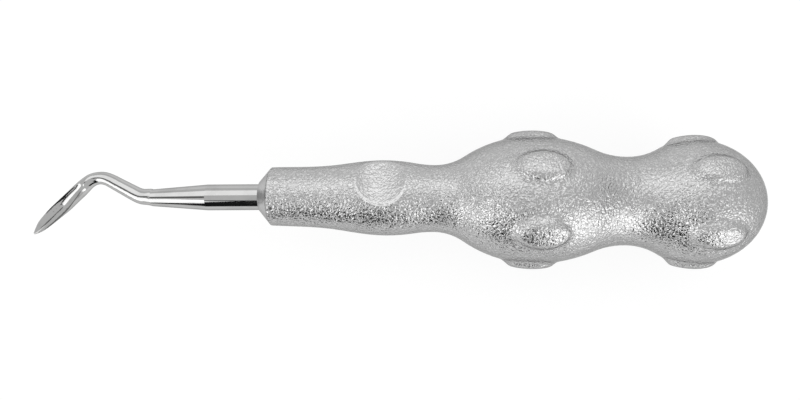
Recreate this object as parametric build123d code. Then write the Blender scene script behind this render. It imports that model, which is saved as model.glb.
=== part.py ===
from build123d import *
from math import acos, atan2, cos, hypot, pi, radians, sin, sqrt, tan
import os

# A dental elevator: a steel working end bonded into a cast handle.
# While it is built, X runs along the handle from its mouth at 0 to the rear, Y is the way the neck
# rises, and Z is up, the way the hollow of the blade faces. All sizes are in millimetres and degrees.

# Shank
shank_diameter = 5.65
shank_length = 11.4
tang_length = 20.0
tang_chamfer = 0.6
shank_lean = 1.1

# Taper, bent neck and knee, measured along the centre line to the corners of its path
taper_length = 14.3
neck_rise = 28.6
neck_bend_radius = 8.7
neck_length = 11.2
blade_fall = 43.3
knee_radius = 4.4
blade_length = 19.1

# Diameters of the round bar
taper_end_diameter = 3.7
neck_diameter = 3.25
knee_start_diameter = 2.9
knee_diameter = 2.72
blade_bar_diameter = 3.1

# Hollow-ground blade
blade_width = 3.0
point_length = 7.5
wedge_length = 9.0
hollow_depth = 0.7
hollow_fade = 1.5
tip_height = 0.3
tip_edge = 0.2
tip_end_angle = 10.0
tip_bevel_length = 2.3
tip_bevel_angle = 45.0
point_step_angle = 16.0
section_spacing = 1.8
runout_rim_angle = 22.0
full_rim_angle = 71.0

# Handle outline: the mouth cone, the collar and three bulges with a waist after each of the first two
mouth_radius = 3.3
mouth_cone_length = 2.6
mouth_fillet = 0.4
collar_radius = 6.35
collar_slope = 0.04
collar_middle = 15.3
collar_middle_radius = 6.9
front_bulge_place = 27.3
front_bulge_radius = 8.2
front_waist_place = 37.9
front_waist_radius = 7.3
middle_bulge_place = 59.3
middle_bulge_radius = 13.85
rear_waist_place = 79.5
rear_waist_radius = 9.65
rear_bulge_place = 93.9
rear_bulge_radius = 13.6
rear_cap_length = 14.5

# Share of each bulge-to-waist run that the bulge's own arc takes
front_bulge_share = 0.6
middle_bulge_front_share = 0.7
middle_bulge_rear_share = 0.63
rear_bulge_share = 0.45

# Finger pads
pads_round = 6
pad_foot_length = 12.4
pad_foot_width = 8.1
pad_crown_length = 7.8
pad_crown_width = 5.0
middle_pad_place = 59.0
middle_pad_height = 1.15
middle_pad_dome_radius = 22.0
rear_pad_place = 94.1
rear_pad_height = 0.95
rear_pad_dome_radius = 15.0
pad_crown_fillet = 2.2
pad_foot_fillet = 2.2
pad_angle = 30.0
pad_margin = 1.0

# Thumb scallop
scallop_place = 26.2
scallop_angle = 30.0
scallop_floor = 6.3
scallop_radius = 10.0
scallop_fillet = 1.0

# Socket in the handle for the tang
bond_gap = 0.02
socket_end_gap = 0.5
drill_point_angle = 118.0

cut_margin = 2.0


def bar_section(place, half_width, rim_height, crown_height, keel_height):
    """Closed outline across the bar: two flanks on one back circle and an arc over the rims."""
    depth = rim_height - keel_height
    back_radius = (half_width**2 + depth**2) / (2 * depth)
    centre = keel_height + back_radius
    rim_angle = atan2(half_width, rim_height - centre)
    flank_angle = (rim_angle + pi) / 2
    flank_y = back_radius * sin(flank_angle)
    flank_z = centre + back_radius * cos(flank_angle)
    face = ThreePointArc((-half_width, rim_height), (0, crown_height), (half_width, rim_height))
    right = ThreePointArc((half_width, rim_height), (flank_y, flank_z), (0, keel_height))
    left = ThreePointArc((0, keel_height), (-flank_y, flank_z), (-half_width, rim_height))
    return place * Face(Wire([face, right, left]))


def round_section(place, diameter):
    """Full round bar, split at the same points as the blade's sections."""
    radius = diameter / 2
    rim = radians(runout_rim_angle)
    return bar_section(place, radius * sin(rim), radius * cos(rim), radius, -radius)


def hollow_section(place, half_width, rim_height, keel_height):
    """Blade section whose hollow gets shallower as the blade narrows."""
    depth = hollow_depth * (half_width / (blade_width / 2)) ** hollow_fade
    return bar_section(place, half_width, rim_height, rim_height - depth, keel_height)


def working_end_path():
    """Centre line from the end of the parallel shank to the tip of the blade."""
    start = Vector(-shank_length, 0)
    neck_corner = start + Vector(-taper_length, 0)
    rise = radians(neck_rise)
    knee_corner = neck_corner + Vector(-cos(rise), sin(rise)) * neck_length
    fall = radians(blade_fall)
    tip = knee_corner + Vector(-cos(fall), -sin(fall)) * blade_length
    return FilletPolyline(start, neck_corner, knee_corner, tip, radius=(neck_bend_radius, knee_radius))


def between(first, last, steps):
    """Equal steps from first to last, with last but without first."""
    return [first + (last - first) * step / steps for step in range(1, steps + 1)]


def tip_bevels(tip_place, wedge_rim_height):
    """Two wedges that grind the rims away towards the tip, each on a chord of the rounded outline."""
    angle = acos(1 - tip_bevel_length / point_length)
    half_width = blade_width / 2 * sin(angle)
    rise = (wedge_rim_height - tip_height) * tip_bevel_length / wedge_length
    chord = hypot(half_width, tip_bevel_length)
    bevels = []
    for side in (-1, 1):
        start = Vector(0, tip_height, 0)
        along = Vector(side * half_width, rise, -tip_bevel_length).normalized()
        outward = Vector(side * tip_bevel_length, 0, half_width).normalized()
        tilt = radians(tip_bevel_angle)
        facing = outward * sin(tilt) + Vector(0, cos(tilt), 0)
        face = Plane(origin=start, x_dir=along, z_dir=facing)
        waste = Box(3 * chord, blade_width, blade_width, align=(Align.CENTER, Align.CENTER, Align.MIN))
        bevels.append(tip_place * face * waste)
    return bevels


def make_working_end():
    """Tang, parallel shank, taper, bent neck and blade in one piece."""
    path = working_end_path()
    bend_reach = neck_bend_radius * tan(radians(neck_rise) / 2)
    knee_turn = radians(neck_rise + blade_fall)
    knee_reach = knee_radius * tan(knee_turn / 2)
    bend_start = taper_length - bend_reach
    bend_end = bend_start + neck_bend_radius * radians(neck_rise)
    knee_start = bend_end + neck_length - bend_reach - knee_reach
    knee_middle = knee_start + knee_radius * knee_turn / 2
    knee_end = knee_start + knee_radius * knee_turn
    tip = knee_end + blade_length - knee_reach
    wedge_start = tip - wedge_length

    def place(distance):
        point = path.position_at(distance, PositionMode.LENGTH)
        along = path.tangent_at(distance, PositionMode.LENGTH)
        return Plane(origin=point, x_dir=Vector(0, 0, 1).cross(along), z_dir=along)

    # Round bar round both bends, drawn down towards the knee
    knee_end_diameter = (knee_diameter + blade_bar_diameter) / 2
    stretches = [
        (bend_start, bend_end, taper_end_diameter, neck_diameter),
        (bend_end, knee_start, neck_diameter, knee_start_diameter),
        (knee_start, knee_middle, knee_start_diameter, knee_diameter),
        (knee_middle, knee_end, knee_diameter, knee_end_diameter),
    ]
    sections = [round_section(place(bend_start), taper_end_diameter)]
    for first, last, first_diameter, last_diameter in stretches:
        steps = max(2, round((last - first) / section_spacing))
        distances = between(first, last, steps)
        diameters = between(first_diameter, last_diameter, steps)
        for distance, diameter in zip(distances, diameters):
            sections.append(round_section(place(distance), diameter))

    # The hollow runs in from the knee while its rims spread down the round bar
    bar_radius = blade_bar_diameter / 2
    steps = max(3, round((wedge_start - knee_end) / section_spacing))
    distances = between(knee_end, wedge_start, steps)
    rims = between(radians(runout_rim_angle), radians(full_rim_angle), steps)
    for distance, rim in zip(distances, rims):
        sections.append(
            hollow_section(place(distance), bar_radius * sin(rim), bar_radius * cos(rim), -bar_radius)
        )

    # The point: an elliptical outline over a back ground as a wedge
    wedge_rim_height = bar_radius * cos(radians(full_rim_angle))
    for angle in between(90 + point_step_angle, tip_end_angle, 6):
        from_tip = point_length * (1 - cos(radians(angle)))
        share = from_tip / wedge_length
        rim_height = tip_height + (wedge_rim_height - tip_height) * share
        keel_height = tip_height - tip_edge + (tip_edge - tip_height - bar_radius) * share
        half_width = blade_width / 2 * sin(radians(angle))
        sections.append(hollow_section(place(tip - from_tip), half_width, rim_height, keel_height))

    bent_end = loft(sections) - tip_bevels(place(tip), wedge_rim_height)
    bar_outline = Polyline(
        (-shank_length - bend_start, 0),
        (-shank_length - bend_start, taper_end_diameter / 2),
        (-shank_length, shank_diameter / 2),
        (tang_length - tang_chamfer, shank_diameter / 2),
        (tang_length, shank_diameter / 2 - tang_chamfer),
        (tang_length, 0),
        close=True,
    )
    return revolve(make_face(bar_outline), Axis.X) + bent_end


def run_between(start, end, start_share):
    """Two tangent arcs from one level to another, level at both ends."""
    middle = start + (end - start) * start_share
    first = TangentArc(start, middle, tangent=(1, 0))
    return [first, TangentArc(middle, end, tangent=first % 1)]


def arc_radius(start, end, share):
    """Radius of the arc that takes this share of a run between two levels."""
    run = end - start
    return share * run.length**2 / (2 * abs(run.Y))


front_bulge = Vector(front_bulge_place, front_bulge_radius)
front_waist = Vector(front_waist_place, front_waist_radius)
middle_bulge = Vector(middle_bulge_place, middle_bulge_radius)
rear_waist = Vector(rear_waist_place, rear_waist_radius)
rear_bulge = Vector(rear_bulge_place, rear_bulge_radius)


def turned(outline):
    """Solid of revolution about the handle's axis, its seam midway between two pads."""
    return revolve(outline, Axis.X).rotate(Axis.X, 180 / pads_round)


def make_handle_body():
    """Plain turned form of the handle."""
    shoulder = Vector(mouth_cone_length, collar_radius)
    collar = Spline(
        shoulder,
        (collar_middle, collar_middle_radius),
        front_bulge,
        tangents=[(1, collar_slope), (1, 0)],
    )
    cap = EllipticalCenterArc(
        (rear_bulge_place, 0), rear_cap_length, rear_bulge_radius, start_angle=0, arc_size=90
    )
    edges = [
        Line((0, 0), (0, mouth_radius)),
        Line((0, mouth_radius), shoulder),
        collar,
        *run_between(front_bulge, front_waist, front_bulge_share),
        *run_between(front_waist, middle_bulge, 1 - middle_bulge_front_share),
        *run_between(middle_bulge, rear_waist, middle_bulge_rear_share),
        *run_between(rear_waist, rear_bulge, 1 - rear_bulge_share),
        cap,
        Line(cap @ 0, (0, 0)),
    ]
    outline = Face(Wire(edges))
    shoulder_corner = outline.vertices().sort_by_distance(shoulder)[0]
    return turned(fillet(shoulder_corner, mouth_fillet))


def make_pad(pad_place, bulge_radius, bulge_arc, height, dome_radius):
    """One oval finger pad with sloping skirts, a domed crown and a soft edge."""
    foot_drop = bulge_arc - sqrt(bulge_arc**2 - (pad_foot_length / 2) ** 2)
    foot_level = bulge_radius - foot_drop
    crown_level = bulge_radius + height

    def oval(level):
        share = (level - foot_level) / (crown_level - foot_level)
        length = pad_foot_length + (pad_crown_length - pad_foot_length) * share
        width = pad_foot_width + (pad_crown_width - pad_foot_width) * share
        return Plane((pad_place, 0, level)) * Ellipse(length / 2, width / 2)

    boss = loft([oval(foot_level - pad_margin), oval(crown_level + pad_margin / 2)])
    dome = Pos(pad_place, 0, crown_level - dome_radius) * Sphere(dome_radius)
    pad = boss & dome
    crown = pad.faces().sort_by(Axis.Z)[-1]
    return fillet(crown.outer_wire().edges(), pad_crown_fillet)


def make_handle(shank_place):
    """Cast handle with its pads, scallop and socket."""
    body = make_handle_body()
    middle_arc = arc_radius(front_waist, middle_bulge, middle_bulge_front_share)
    rear_arc = arc_radius(rear_waist, rear_bulge, rear_bulge_share)
    first_pads = [
        make_pad(
            middle_pad_place, middle_bulge_radius, middle_arc, middle_pad_height, middle_pad_dome_radius
        ),
        make_pad(rear_pad_place, rear_bulge_radius, rear_arc, rear_pad_height, rear_pad_dome_radius),
    ]
    pads = [
        pad.rotate(Axis.X, pad_angle + 360 * number / pads_round)
        for pad in first_pads
        for number in range(pads_round)
    ]
    handle = body + pads
    feet = new_edges(body, *pads, combined=handle)
    handle = fillet(feet, pad_foot_fillet)

    # Thumb scallop: a round cut straight across the front bulge
    cutter_level = scallop_floor + scallop_radius
    cutter_length = 4 * front_bulge_radius
    cutter = Pos(scallop_place, 0, cutter_level) * Rot(X=90) * Cylinder(scallop_radius, cutter_length)
    cutter = cutter.rotate(Axis.X, -scallop_angle)
    uncut = handle
    handle = handle - cutter
    handle = fillet(new_edges(uncut, cutter, combined=handle), scallop_fillet)

    # Drilled socket on the shank's own axis
    socket_radius = shank_diameter / 2 + bond_gap
    socket_end = tang_length + socket_end_gap
    drill_point = socket_radius / tan(radians(drill_point_angle / 2))
    socket = revolve(
        make_face(
            Polyline(
                (-cut_margin, 0),
                (-cut_margin, socket_radius),
                (socket_end, socket_radius),
                (socket_end + drill_point, 0),
                close=True,
            )
        ),
        Axis.X,
    )
    return handle - shank_place * socket


def main():
    shank_place = Pos(tang_length / 2) * Rot(Z=shank_lean) * Pos(-tang_length / 2)
    pieces = {
        "working_end": shank_place * make_working_end(),
        "handle": make_handle(shank_place),
    }

    # The part's origin is under the middle of its box, at the level that it rests on
    box = Compound(list(pieces.values())).bounding_box(optimal=True)
    to_origin = Pos(-box.center().X, -box.center().Y, -box.min.Z)
    os.makedirs("parts", exist_ok=True)
    for name, piece in pieces.items():
        export_step(to_origin * piece, f"parts/{name}.step")
    print("mouth of the handle at", to_origin.position, "size", box.size)


main()
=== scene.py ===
from collections import namedtuple
from math import cos, pi, radians, sin, tan

import bpy
from bpy.props import FloatProperty, FloatVectorProperty, PointerProperty
from bpy.types import Operator, Panel, PropertyGroup
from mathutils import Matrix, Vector


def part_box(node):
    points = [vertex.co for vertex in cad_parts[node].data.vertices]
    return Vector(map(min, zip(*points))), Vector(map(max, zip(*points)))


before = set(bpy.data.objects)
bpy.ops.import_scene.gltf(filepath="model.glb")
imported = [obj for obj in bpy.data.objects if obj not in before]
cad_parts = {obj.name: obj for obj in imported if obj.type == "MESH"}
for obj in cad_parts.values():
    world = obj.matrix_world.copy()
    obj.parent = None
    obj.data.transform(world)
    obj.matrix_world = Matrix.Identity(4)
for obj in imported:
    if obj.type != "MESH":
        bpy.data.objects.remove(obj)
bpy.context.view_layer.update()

bl_info = {
    "name": "Dental elevator",
    "version": (1, 0, 0),
    "blender": (4, 5, 0),
    "location": "3D View > Sidebar > Elevator",
    "description": "Finishes a bent elevator with a grained handle and lights it on a pale table",
    "category": "Object",
}

handle_low, handle_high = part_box("handle")
end_low, end_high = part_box("working_end")
handle_mouth = handle_low.x
axis_height = (handle_low.z + handle_high.z) / 2

# Azimuth 0 is in front of the object, towards -Y, and it grows towards +X. A lamp's distance and size are
# in metres, and its light names a value of the studio. A card is a dark place of the room; its width and
# height are angles, and its edge is the softness as a tangent.
Softbox = namedtuple("Softbox", "name azimuth elevation distance width height light")
softboxes = (
    Softbox("front_left", radians(-52), radians(33), 0.6, 0.34, 0.40, "front_light"),
    Softbox("front_right", radians(47), radians(24), 0.6, 0.46, 0.42, "front_light"),
    Softbox("back", radians(190), radians(48), 0.6, 1.0, 0.48, "back_light"),
)
Card = namedtuple("Card", "azimuth elevation width height edge darkness")
gap_between_softboxes = Card(radians(-3), radians(15), radians(46), radians(27), 0.03, 1.0)
upright_at_left = Card(radians(-23), radians(33), radians(18), radians(50), 0.015, 1.0)
streak_at_side = Card(radians(-93), radians(60), radians(14), radians(11), 0.02, 0.8)
least_depth = 0.01

noise_middle = 0.5


class Value:
    """A socket of a material or world, so that sums on it are written as plain expressions."""

    def __init__(self, shader, socket):
        self.shader = shader
        self.socket = socket

    def sum_of(self, operation, *values):
        return self.shader.node("ShaderNodeMath", {"operation": operation}, dict(enumerate(values)))

    def __add__(self, other):
        return self.sum_of("ADD", self, other)

    def __radd__(self, other):
        return self.sum_of("ADD", other, self)

    def __sub__(self, other):
        return self.sum_of("SUBTRACT", self, other)

    def __rsub__(self, other):
        return self.sum_of("SUBTRACT", other, self)

    def __mul__(self, other):
        return self.sum_of("MULTIPLY", self, other)

    def __rmul__(self, other):
        return self.sum_of("MULTIPLY", other, self)

    def __truediv__(self, other):
        return self.sum_of("DIVIDE", self, other)

    def __abs__(self):
        return self.sum_of("ABSOLUTE", self)

    def at_least(self, other):
        return self.sum_of("MAXIMUM", self, other)

    def root(self):
        return self.sum_of("SQRT", self)

    def above(self, start, end):
        """0 below start, 1 above end, and a smooth rise between them; end may be the lower one."""
        return self.shader.node(
            "ShaderNodeMapRange",
            {"interpolation_type": "SMOOTHSTEP"},
            {"Value": self, "From Min": start, "From Max": end, "To Min": 0, "To Max": 1},
            "Result",
        )


class Shader:
    """Builds one material or world from nodes."""

    def __init__(self, tree, output_type):
        self.tree = tree
        tree.nodes.clear()
        self.output = tree.nodes.new(output_type)

    def fill(self, socket, value):
        """Links a value to a socket, or writes a number or colour on it."""
        if isinstance(value, Value):
            self.tree.links.new(value.socket, socket)
        else:
            socket.default_value = value

    def node(self, node_type, settings=None, inputs=None, output=0):
        """Adds a node, makes its settings, fills its sockets and gives one of its outputs."""
        node = self.tree.nodes.new(node_type)
        for name, setting in (settings or {}).items():
            setattr(node, name, setting)
        for name, value in (inputs or {}).items():
            self.fill(node.inputs[name], value)
        return Value(self, node.outputs[output])

    def place(self):
        """The point on the piece, in metres."""
        return self.node("ShaderNodeTexCoord", output="Object")

    def stretched(self, vector, factors):
        """The vector with each of its parts multiplied."""
        return self.node("ShaderNodeVectorMath", {"operation": "MULTIPLY"}, {0: vector, 1: factors})

    def along(self, vector, direction):
        """How far the vector reaches in a direction."""
        return self.node(
            "ShaderNodeVectorMath", {"operation": "DOT_PRODUCT"}, {0: vector, 1: direction}, "Value"
        )

    def noise(self, vector, spacing, detail, roughness, distortion=0.0):
        """Soft noise from 0 to 1 whose spots lie about one spacing apart."""
        inputs = {
            "Vector": vector,
            "Scale": 1 / spacing,
            "Detail": detail,
            "Roughness": roughness,
            "Distortion": distortion,
        }
        return self.node("ShaderNodeTexNoise", {"noise_dimensions": "3D"}, inputs, "Fac")

    def mixed(self, factor, first, second):
        """A colour between two colours."""
        inputs = {"Factor": factor, "A": first, "B": second}
        node = self.node("ShaderNodeMix", {"data_type": "RGBA"}).socket.node
        for socket in node.inputs:
            if socket.enabled and socket.name in inputs:
                self.fill(socket, inputs[socket.name])
        return Value(self, next(socket for socket in node.outputs if socket.enabled))

    def bump(self, height, depth):
        """A normal from a height that goes from 0 to 1 over the given depth."""
        return self.node("ShaderNodeBump", None, {"Height": height, "Distance": depth}, "Normal")

    def ray_is(self, *kinds):
        """1 for a ray of one of the kinds, 0 for others."""
        outputs = self.node("ShaderNodeLightPath").socket.node.outputs
        found, *others = [Value(self, outputs[f"Is {kind} Ray"]) for kind in kinds]
        for other in others:
            found = found.at_least(other)
        return found

    def metal(self, colour, edge_colour, roughness, normal):
        """Closes a material as bare metal."""
        inputs = {
            "Base Color": colour,
            "Metallic": 1.0,
            "Roughness": roughness,
            "Specular Tint": opaque(edge_colour),
            "Normal": normal,
        }
        self.finish(self.node("ShaderNodeBsdfPrincipled", None, inputs))

    def finish(self, shader):
        self.tree.links.new(shader.socket, self.output.inputs["Surface"])


def new_material(name):
    material = bpy.data.materials.new(name)
    material.use_nodes = True
    return material, Shader(material.node_tree, "ShaderNodeOutputMaterial")


def set_material(piece, material):
    piece.data.materials.clear()
    piece.data.materials.append(material)


def opaque(colour):
    return (*colour, 1.0)


def deselect_all():
    bpy.ops.object.select_all(action="DESELECT")


def direction_to(azimuth, elevation):
    return Vector((sin(azimuth) * cos(elevation), -cos(azimuth) * cos(elevation), sin(elevation)))


class SteelFinish(PropertyGroup):
    colour: FloatVectorProperty(
        name="Steel colour", description="Colour of the polished steel", subtype="COLOR",
        size=3, min=0, max=1, default=(0.50, 0.50, 0.497))
    dull_colour: FloatVectorProperty(
        name="Dulled colour", description="Colour where the polish is a little dulled", subtype="COLOR",
        size=3, min=0, max=1, default=(0.45, 0.45, 0.447))
    edge_colour: FloatVectorProperty(
        name="Edge colour", description="Share of the metal's shine left at glancing angles",
        subtype="COLOR", size=3, min=0, max=1, default=(0.5, 0.5, 0.5))
    polish_roughness: FloatProperty(
        name="Polish roughness", description="Roughness of the mirror polish", subtype="FACTOR",
        min=0, max=1, default=0.045)
    dull_roughness: FloatProperty(
        name="Dulled roughness", description="Roughness where the polish is dulled", subtype="FACTOR",
        min=0, max=1, default=0.11)
    patch_spacing: FloatProperty(
        name="Patch spacing", description="Distance between the dulled patches", subtype="DISTANCE",
        default=0.004)
    dull_start: FloatProperty(
        name="Dulling start", description="Level of the patches' noise at which the dulling starts",
        subtype="FACTOR", min=0, max=1, default=0.42)
    dull_end: FloatProperty(
        name="Dulling end", description="Level of the patches' noise at which the dulling is full",
        subtype="FACTOR", min=0, max=1, default=0.72)
    line_spacing: FloatProperty(
        name="Polishing line spacing", description="Distance between the faint lines left by the wheel",
        subtype="DISTANCE", default=0.00012)
    line_stretch: FloatProperty(
        name="Polishing line stretch", description="Spacing across the lines over spacing along them",
        subtype="FACTOR", min=0, max=1, default=0.12)
    line_depth: FloatProperty(
        name="Polishing line depth", description="Depth of the faint lines", subtype="DISTANCE",
        default=0.0000006)


class AlloyFinish(PropertyGroup):
    colour: FloatVectorProperty(
        name="Alloy colour", description="Colour of the cast alloy", subtype="COLOR",
        size=3, min=0, max=1, default=(0.60, 0.60, 0.60))
    # The grain's painted shade: a darker colour laid halfway up its bumps, in long winding lines
    grain_shade_colour: FloatVectorProperty(
        name="Grain shade colour", description="Darker colour of the painted grain shade, halfway up the grain",
        subtype="COLOR", size=3, min=0, max=1, default=(0.46, 0.46, 0.46))
    grain_shade_core: FloatProperty(
        name="Grain shade core", description="Distance from the noise's middle up to which the painted shade is darkest",
        subtype="FACTOR", min=0, max=1, default=0.025)
    grain_shade_reach: FloatProperty(
        name="Grain shade reach", description="Distance from the noise's middle at which the painted shade ends",
        subtype="FACTOR", min=0, max=1, default=0.2)
    edge_colour: FloatVectorProperty(
        name="Edge colour", description="Share of the metal's shine left at glancing angles",
        subtype="COLOR", size=3, min=0, max=1, default=(0.5, 0.5, 0.5))
    roughness: FloatProperty(
        name="Roughness", description="Roughness of the grained surface", subtype="FACTOR",
        min=0, max=1, default=0.10)
    roughness_swing: FloatProperty(
        name="Roughness swing", description="How much the roughness goes up and down with the swell",
        subtype="FACTOR", min=0, max=1, default=0.08)
    satin_roughness: FloatProperty(
        name="Satin roughness", description="Roughness of the machined mouth cone", subtype="FACTOR",
        min=0, max=1, default=0.3)
    grain_spacing: FloatProperty(
        name="Grain spacing", description="Distance between the bumps of the grain", subtype="DISTANCE",
        default=0.0005)
    grain_depth: FloatProperty(
        name="Grain depth", description="Height of the grain from pit to crest", subtype="DISTANCE",
        default=0.00028)
    fine_spacing: FloatProperty(
        name="Fine grain spacing", description="Spacing of the fine grain over that of the main grain",
        subtype="FACTOR", min=0, max=1, default=0.6)
    fine_share: FloatProperty(
        name="Fine grain share", description="Share of the height that the fine grain takes",
        subtype="FACTOR", min=0, max=1, default=0.15)
    swell_spacing: FloatProperty(
        name="Swell spacing", description="Distance between the soft swells under the grain",
        subtype="DISTANCE", default=0.0035)
    swell_share: FloatProperty(
        name="Swell share", description="Height of the swells over that of the grain", subtype="FACTOR",
        min=0, max=1, default=0.4)
    cone_length: FloatProperty(
        name="Mouth cone length", description="Distance from the mouth at which the full grain starts",
        subtype="DISTANCE", default=0.0027)
    cone_blend: FloatProperty(
        name="Mouth cone blend", description="Length over which the grain comes in", subtype="DISTANCE",
        default=0.0005)
    cone_calm: FloatProperty(
        name="Mouth cone calm", description="Share of the grain that the cone lacks", subtype="FACTOR",
        min=0, max=1, default=0.92)
    scallop_place: FloatProperty(
        name="Scallop place", description="Middle of the scallop, from the mouth", subtype="DISTANCE",
        default=0.0262)
    scallop_angle: FloatProperty(
        name="Scallop angle", description="Turn of the scallop from the upright", subtype="ANGLE",
        default=radians(30))
    scallop_floor: FloatProperty(
        name="Scallop floor", description="Distance of its floor from the axis", subtype="DISTANCE",
        default=0.0063)
    scallop_radius: FloatProperty(
        name="Scallop radius", description="Radius of the cut", subtype="DISTANCE", default=0.010)
    scallop_margin: FloatProperty(
        name="Scallop margin", description="Depth below the cut at which the full grain starts",
        subtype="DISTANCE", default=0.0003)
    scallop_blend: FloatProperty(
        name="Scallop blend", description="Part of the margin over which the grain comes in",
        subtype="DISTANCE", default=0.0002)
    scallop_reach: FloatProperty(
        name="Scallop reach", description="Half the length of the scallop's calm finish",
        subtype="DISTANCE", default=0.009)
    scallop_reach_blend: FloatProperty(
        name="Scallop end blend", description="Length over which the grain comes in at its ends",
        subtype="DISTANCE", default=0.001)
    scallop_calm: FloatProperty(
        name="Scallop calm", description="Share of the grain that the scallop lacks", subtype="FACTOR",
        min=0, max=1, default=0.45)


class Studio(PropertyGroup):
    floor_size: FloatProperty(
        name="Table size", description="Side of the table top", subtype="DISTANCE", default=3.0)
    floor_colour: FloatVectorProperty(
        name="Table colour", description="Colour of the pale table", subtype="COLOR",
        size=3, min=0, max=1, default=(0.90, 0.90, 0.90))
    mottle_spacing: FloatProperty(
        name="Mottle spacing", description="Distance between the table's faint spots",
        subtype="DISTANCE", default=0.02)
    mottle_share: FloatProperty(
        name="Mottle share", description="How far the spots go towards their darker shade",
        subtype="FACTOR", min=0, max=1, default=0.04)
    mottle_shade: FloatProperty(
        name="Mottle shade", description="Darker shade of the spots over the table's colour",
        subtype="FACTOR", min=0, max=1, default=0.95)
    floor_white: FloatProperty(
        name="Table white", description="Brightness of the table's white, where 1 is white",
        default=1.05)
    floor_lift: FloatProperty(
        name="Table lift", description="Share of the table's white that no shadow touches",
        subtype="FACTOR", min=0, max=1, default=0.8)
    front_light: FloatProperty(
        name="Front lights", description="Brightness that the front softboxes add, where 1 is white",
        default=1.4)
    back_light: FloatProperty(
        name="Back light", description="Brightness that the back softbox adds, where 1 is white",
        default=0.7)
    room_light: FloatProperty(
        name="Room light", description="Brightness of the pale room, where 1 is white", default=0.8)
    card_light: FloatProperty(
        name="Dark cards", description="Brightness of the dark cards", default=0.016)
    camera_height: FloatProperty(
        name="Camera height", description="Height of the camera over the handle's axis",
        subtype="DISTANCE", default=0.1245)
    camera_place: FloatProperty(
        name="Camera place", description="Distance of the camera behind the handle's mouth",
        subtype="DISTANCE", default=0.030467)
    camera_side: FloatProperty(
        name="Camera side", description="Distance of the camera beside the axis", subtype="DISTANCE",
        default=-0.000417)
    camera_roll: FloatProperty(
        name="Camera roll", description="Turn of the camera about its view", subtype="ANGLE",
        default=radians(0.757))
    camera_sensor: FloatProperty(
        name="Camera sensor", description="Width of the sensor in millimetres", default=36.0)
    camera_lens: FloatProperty(
        name="Camera lens", description="Focal length in millimetres", default=25.65)
    camera_near: FloatProperty(
        name="Camera near limit", description="Nearest distance that the camera sees",
        subtype="DISTANCE", default=0.005)


def steel_material(finish):
    """Mirror-polished steel with faint dulled patches and the fine lines of the polishing wheel."""
    material, s = new_material("polished_steel")
    place = s.place()
    patches = s.noise(place, finish.patch_spacing, detail=3, roughness=0.6)
    dull = patches.above(finish.dull_start, finish.dull_end)
    drawn_out = s.stretched(place, (finish.line_stretch, 1, 1))
    lines = s.noise(drawn_out, finish.line_spacing, detail=2, roughness=0.6)
    colour = s.mixed(dull, opaque(finish.colour), opaque(finish.dull_colour))
    roughness = finish.polish_roughness + (finish.dull_roughness - finish.polish_roughness) * dull
    s.metal(colour, finish.edge_colour, roughness, s.bump(lines, finish.line_depth))
    return material


def scallop_mask(s, finish, place):
    """1 on the floor of the scallop and 0 on the rest of the handle."""
    up = Vector((0, sin(finish.scallop_angle), cos(finish.scallop_angle)))
    height = s.along(place, up) - up.z * axis_height
    run = s.along(place, (1, 0, 0)) - (handle_mouth + finish.scallop_place)
    drop = (finish.scallop_radius**2 - run * run).at_least(0).root()
    cut = finish.scallop_floor + finish.scallop_radius - drop
    inside = (cut - height).above(finish.scallop_margin, finish.scallop_margin - finish.scallop_blend)
    within = abs(run).above(finish.scallop_reach, finish.scallop_reach - finish.scallop_reach_blend)
    return inside * within


def alloy_material(finish):
    """Cast alloy with a fine worm-like grain and painted shade along it, calmer in the scallop and smooth
    on the mouth cone.
    """
    material, s = new_material("grained_alloy")
    place = s.place()
    scallop = scallop_mask(s, finish, place)
    from_mouth = s.along(place, (1, 0, 0)) - handle_mouth
    cone = from_mouth.above(finish.cone_length, finish.cone_length - finish.cone_blend)

    worms = s.noise(place, finish.grain_spacing, detail=1, roughness=0.4, distortion=0.6)
    fine = s.noise(place, finish.grain_spacing * finish.fine_spacing, detail=1, roughness=0.5)
    swell = s.noise(place, finish.swell_spacing, detail=2, roughness=0.5)
    grain = worms * (1 - finish.fine_share) + fine * finish.fine_share
    calm = (1 - scallop * finish.scallop_calm) * (1 - cone * finish.cone_calm)
    normal = s.bump(grain * calm + swell * finish.swell_share, finish.grain_depth)

    # The places where the noise crosses its middle, halfway up the grain's bumps, get painted shade in
    # long winding lines
    painted_grain_shade = abs(worms - noise_middle).above(finish.grain_shade_reach, finish.grain_shade_core) * calm
    colour = s.mixed(painted_grain_shade, opaque(finish.colour), opaque(finish.grain_shade_colour))
    swing = (swell - noise_middle) * finish.roughness_swing
    roughness = finish.roughness + swing + cone * (finish.satin_roughness - finish.roughness)
    s.metal(colour, finish.edge_colour, roughness, normal)
    return material


def floor_material(studio):
    """A pale table top, lifted towards white for the camera and the metal, that keeps the shadow."""
    material, s = new_material("pale_table")
    mottle = s.noise(s.place(), studio.mottle_spacing, detail=3, roughness=0.6)
    shade = [part * studio.mottle_shade for part in studio.floor_colour]
    colour = s.mixed(mottle * studio.mottle_share, opaque(studio.floor_colour), opaque(shade))
    diffuse = s.node("ShaderNodeBsdfDiffuse", None, {"Color": colour})
    white = s.node("ShaderNodeEmission", None, {"Strength": studio.floor_white})
    lift = s.ray_is("Camera", "Glossy", "Transmission") * studio.floor_lift
    s.finish(s.node("ShaderNodeMixShader", None, {0: lift, 1: diffuse, 2: white}))
    return material


def card_mask(s, direction, card):
    """1 inside a flat card that faces the object, 0 outside it, with a soft edge."""
    centre = direction_to(card.azimuth, card.elevation)
    right = direction_to(card.azimuth + pi / 2, 0)
    up = right.cross(centre)
    # Directions behind the object would mirror the card, so the depth stays above zero
    depth = s.along(direction, centre).at_least(least_depth)
    across = abs(s.along(direction, right) / depth)
    upwards = abs(s.along(direction, up) / depth)
    half_width, half_height = tan(card.width / 2), tan(card.height / 2)
    in_width = across.above(half_width + card.edge, half_width - card.edge)
    in_height = upwards.above(half_height + card.edge, half_height - card.edge)
    return in_width * in_height


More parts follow.
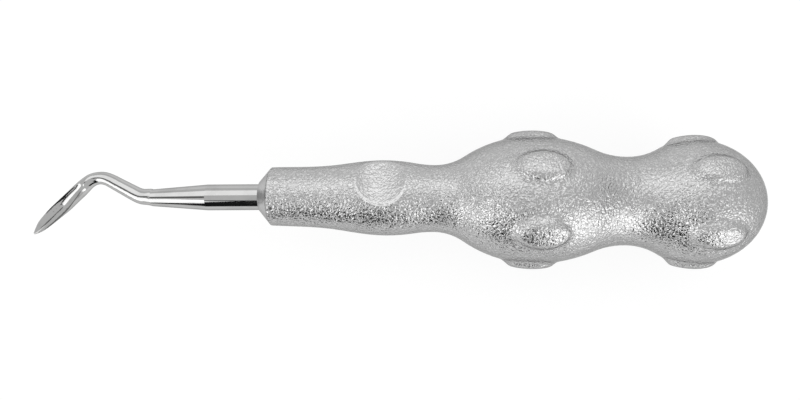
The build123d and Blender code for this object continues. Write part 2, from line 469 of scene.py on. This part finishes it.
def room_world(studio):
    """A pale room with dark cards, which the camera itself sees as white."""
    world = bpy.data.worlds.new("pale_room")
    world.use_nodes = True
    s = Shader(world.node_tree, "ShaderNodeOutputWorld")
    direction = s.node("ShaderNodeTexCoord", output="Generated")
    gap = card_mask(s, direction, gap_between_softboxes)
    upright = card_mask(s, direction, upright_at_left)
    streak = card_mask(s, direction, streak_at_side) * streak_at_side.darkness
    dark = gap.at_least(upright).at_least(streak)
    level = studio.room_light * (1 - dark) + studio.card_light * dark
    seen = s.ray_is("Camera")
    brightness = level * (1 - seen) + seen
    white = opaque((1, 1, 1))
    s.finish(s.node("ShaderNodeBackground", None, {"Color": white, "Strength": brightness}))
    return world


class ELEVATOR_OT_working_end(Operator):
    """Gives the blade, neck and shank their mirror polish"""

    bl_idname = "elevator.working_end"
    bl_label = "Working end"

    def execute(self, context):
        set_material(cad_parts["working_end"], steel_material(context.scene.elevator_steel))
        return {"FINISHED"}


class ELEVATOR_OT_handle(Operator):
    """Gives the handle its cast grain"""

    bl_idname = "elevator.handle"
    bl_label = "Handle"

    def execute(self, context):
        set_material(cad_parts["handle"], alloy_material(context.scene.elevator_alloy))
        return {"FINISHED"}


def add_floor(studio):
    deselect_all()
    bpy.ops.mesh.primitive_plane_add(size=studio.floor_size)
    floor = bpy.context.object
    floor.name = "table_top"
    set_material(floor, floor_material(studio))


def add_lamp(softbox, level):
    """A rectangular lamp that faces the middle of the object and adds this much brightness."""
    direction = direction_to(softbox.azimuth, softbox.elevation)
    target = Vector((0, 0, axis_height))
    deselect_all()
    bpy.ops.object.light_add(type="AREA", location=target + direction * softbox.distance)
    lamp = bpy.context.object
    lamp.name = softbox.name
    lamp.rotation_euler = direction.to_track_quat("Z", "Y").to_euler()
    lamp.data.shape = "RECTANGLE"
    lamp.data.size = softbox.width
    lamp.data.size_y = softbox.height
    lamp.data.energy = level * pi * softbox.width * softbox.height
    lamp.visible_camera = False


def add_camera(studio):
    """A camera that looks straight down at the lying instrument."""
    along = handle_mouth + studio.camera_place
    place = (along, studio.camera_side, axis_height + studio.camera_height)
    deselect_all()
    bpy.ops.object.camera_add(location=place, rotation=(0, 0, studio.camera_roll))
    camera = bpy.context.object
    camera.name = "camera"
    camera.data.sensor_width = studio.camera_sensor
    camera.data.lens = studio.camera_lens
    camera.data.clip_start = studio.camera_near
    bpy.context.scene.camera = camera


class ELEVATOR_OT_studio(Operator):
    """Lays the table and sets up the lights and the camera"""

    bl_idname = "elevator.studio"
    bl_label = "Studio"

    def execute(self, context):
        studio = context.scene.elevator_studio
        add_floor(studio)
        for softbox in softboxes:
            add_lamp(softbox, getattr(studio, softbox.light))
        context.scene.world = room_world(studio)
        add_camera(studio)
        context.scene.view_settings.view_transform = "Standard"
        return {"FINISHED"}


class ELEVATOR_PT_sidebar(Panel):
    """Lists the pieces of the elevator and their values"""

    bl_idname = "ELEVATOR_PT_sidebar"
    bl_label = "Dental elevator"
    bl_space_type = "VIEW_3D"
    bl_region_type = "UI"
    bl_category = "Elevator"

    def draw(self, context):
        scene = context.scene
        for operator in (ELEVATOR_OT_working_end, ELEVATOR_OT_handle, ELEVATOR_OT_studio):
            self.layout.operator(operator.bl_idname)
        for group in (scene.elevator_steel, scene.elevator_alloy, scene.elevator_studio):
            column = self.layout.column()
            for name in group.bl_rna.properties.keys():
                if name not in ("rna_type", "name"):
                    column.prop(group, name)


classes = (
    SteelFinish,
    AlloyFinish,
    Studio,
    ELEVATOR_OT_working_end,
    ELEVATOR_OT_handle,
    ELEVATOR_OT_studio,
    ELEVATOR_PT_sidebar,
)


def register():
    for one in classes:
        bpy.utils.register_class(one)
    bpy.types.Scene.elevator_steel = PointerProperty(type=SteelFinish)
    bpy.types.Scene.elevator_alloy = PointerProperty(type=AlloyFinish)
    bpy.types.Scene.elevator_studio = PointerProperty(type=Studio)


def unregister():
    del bpy.types.Scene.elevator_steel
    del bpy.types.Scene.elevator_alloy
    del bpy.types.Scene.elevator_studio
    for one in reversed(classes):
        bpy.utils.unregister_class(one)


def main():
    register()
    bpy.ops.elevator.working_end()
    bpy.ops.elevator.handle()
    bpy.ops.elevator.studio()


if __name__ == "__main__":
    main()
